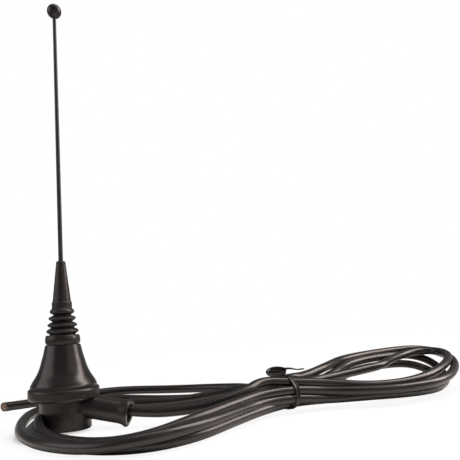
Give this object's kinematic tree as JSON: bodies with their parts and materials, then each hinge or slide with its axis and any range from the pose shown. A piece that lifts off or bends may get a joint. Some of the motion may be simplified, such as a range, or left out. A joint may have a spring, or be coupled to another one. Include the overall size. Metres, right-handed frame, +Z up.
{
  "type": "external radio whip antenna with coax lead",
  "caption": "Ball-tipped whip in a ribbed conical boot on a bell-shaped base with a flange, an oval foot and a side outlet; its bare-ended coax lead is coiled and tied",
  "frame": {"origin": "middle of the oval foot's underside, on the whip's axis", "axes": "+Z runs up along the whip; +X points out through the cable outlet"},
  "size_m": [0.2666, 0.1886, 0.2051],
  "materials": {
    "body": "satin moulded black plastic",
    "cover": "satin moulded black plastic",
    "ring": "satin moulded black plastic",
    "boot": "soft black rubber",
    "whip": "black coated steel",
    "ball": "smooth black plastic",
    "jacket": "satin black vinyl jacket",
    "tie": "black plastic strip with a wire inside",
    "seal": "black rubber",
    "brass": "turned",
    "steel": "zinc plated",
    "copper": "bare copper",
    "dielectric": "translucent pale insulation"
  },
  "bodies": {
    "root": {"base_body": "body", "base_insert": "brass", "bell_seal": "seal", "ground_plate": "steel", "outlet_seal": "seal", "cable_crimp": "brass", "bell_cover": "cover", "boot_ring": "ring", "boot": "boot", "whip_ferrule": "brass", "stud_washer": "steel", "stud_nut": "steel", "whip_rod": "whip", "tip_ball": "ball", "lead_core": "copper", "lead_dielectric": "dielectric", "coax_lead": "jacket", "coax_hank": "jacket", "coax_tail": "jacket", "end_braid": "copper", "end_dielectric": "dielectric", "end_core": "copper", "tie_band": "tie", "tie_twist": "tie"}
  },
  "joints": []
}
